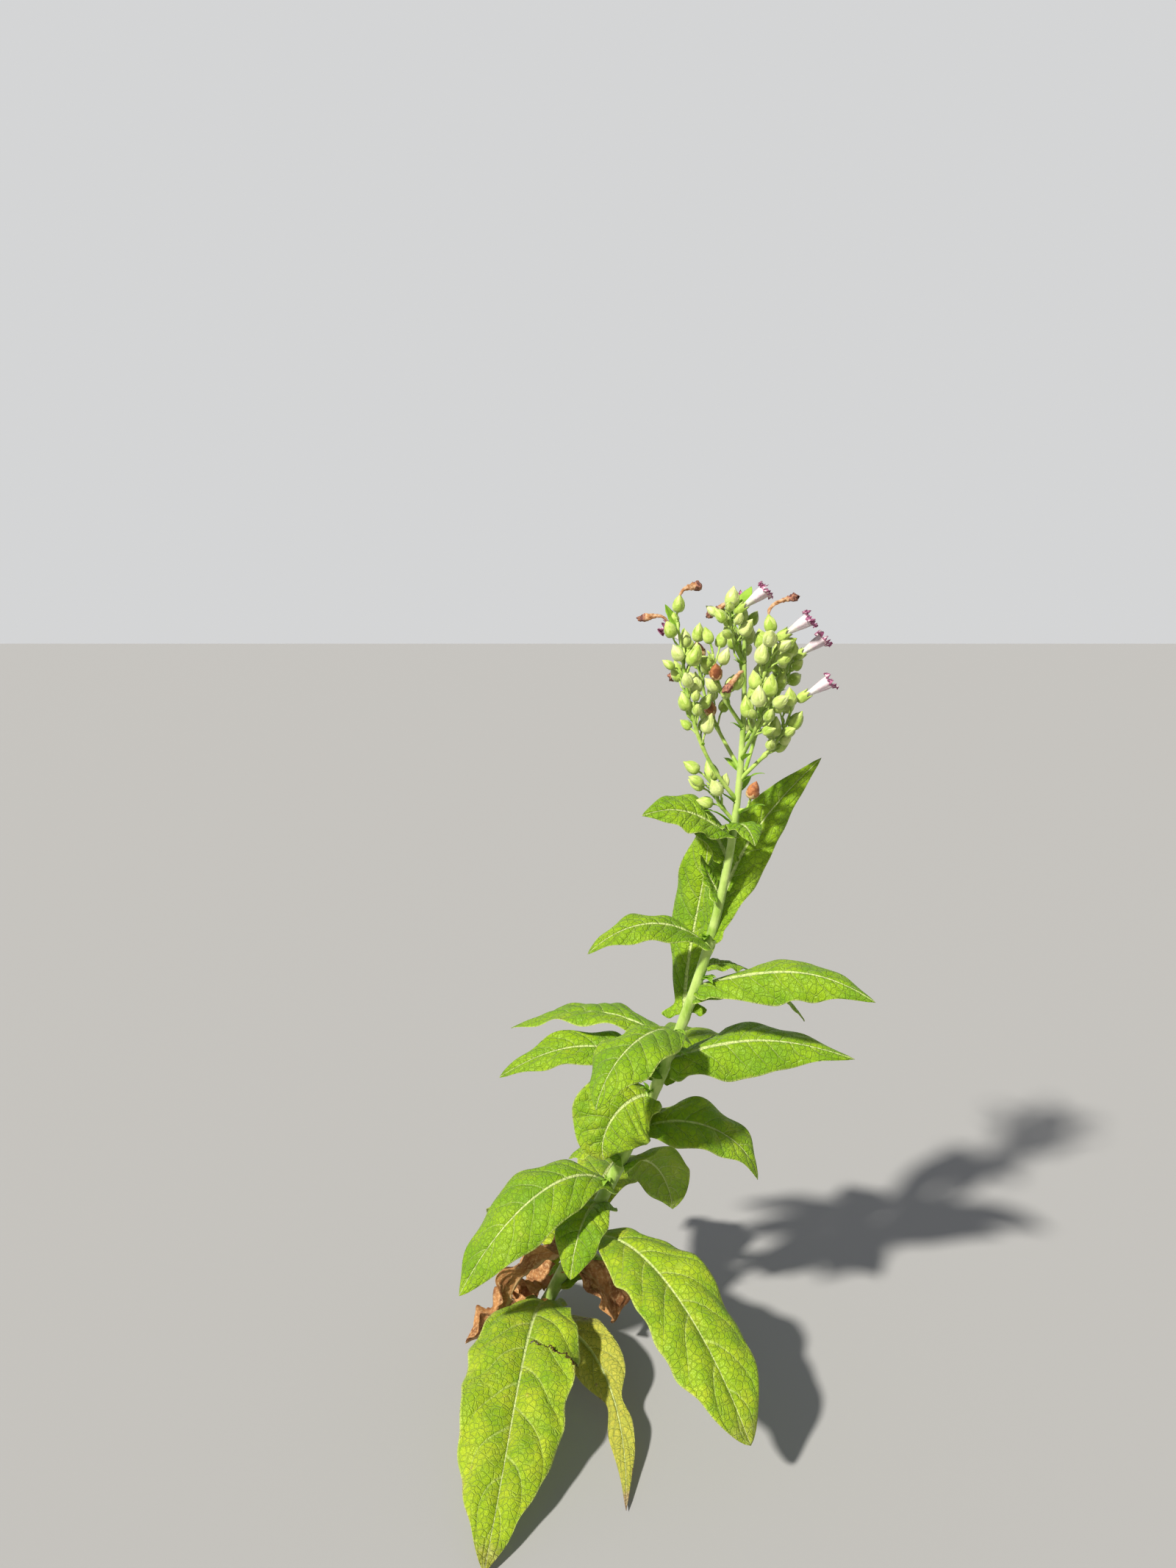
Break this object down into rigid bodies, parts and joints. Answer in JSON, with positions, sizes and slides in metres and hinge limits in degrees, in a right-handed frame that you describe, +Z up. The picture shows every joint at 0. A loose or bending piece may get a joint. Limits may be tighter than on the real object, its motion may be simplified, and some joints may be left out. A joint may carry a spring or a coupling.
{
  "type": "tobacco plant",
  "caption": "Tobacco plant rooted in the ground: a leaning stem, long pointed leaves, withered leaves at its foot, and a branched head of seed pods and trumpet flowers.",
  "frame": {"origin": "middle of the flat cut under the stem, at ground level", "axes": "+Z up, +X to the right and +Y away from the viewer as the picture shows the plant"},
  "size_m": [0.5852, 0.7466, 1.2518],
  "materials": {
    "stem": "green, soft and slightly hairy, paler and woodier at the foot",
    "leaf": "yellow-green blade with pale veins, dull",
    "withered_leaf": "dry, brown and crumpled",
    "seed_head": "pale green pods, a few dry brown ones, and flowers with a white tube and a pink rim"
  },
  "bodies": {
    "root": {"stem": "stem", "leaf_01": "leaf", "leaf_02": "leaf", "leaf_03": "leaf", "leaf_04": "leaf", "leaf_05": "leaf", "leaf_06": "leaf", "leaf_07": "leaf", "leaf_08": "leaf", "leaf_09": "leaf", "leaf_10": "leaf", "leaf_11": "leaf", "leaf_12": "leaf", "leaf_13": "leaf", "leaf_14": "leaf", "leaf_15": "leaf", "leaf_16": "leaf", "leaf_17": "leaf", "leaf_18": "leaf", "leaf_19": "leaf", "leaf_20": "leaf", "leaf_21": "leaf", "leaf_22": "leaf", "leaf_23": "leaf", "leaf_24": "leaf", "leaf_25": "leaf", "leaf_26": "leaf", "leaf_27": "leaf", "leaf_28": "leaf", "withered_leaf_1": "withered_leaf", "withered_leaf_2": "withered_leaf", "withered_leaf_3": "withered_leaf", "withered_leaf_4": "withered_leaf", "head_branch_01": "seed_head", "head_branch_02": "seed_head", "head_branch_03": "seed_head", "head_branch_04": "seed_head", "head_branch_05": "seed_head", "head_branch_06": "seed_head", "head_branch_07": "seed_head", "head_branch_08": "seed_head", "head_branch_09": "seed_head", "head_branch_10": "seed_head", "head_branch_11": "seed_head", "head_branch_12": "seed_head"}
  },
  "joints": []
}
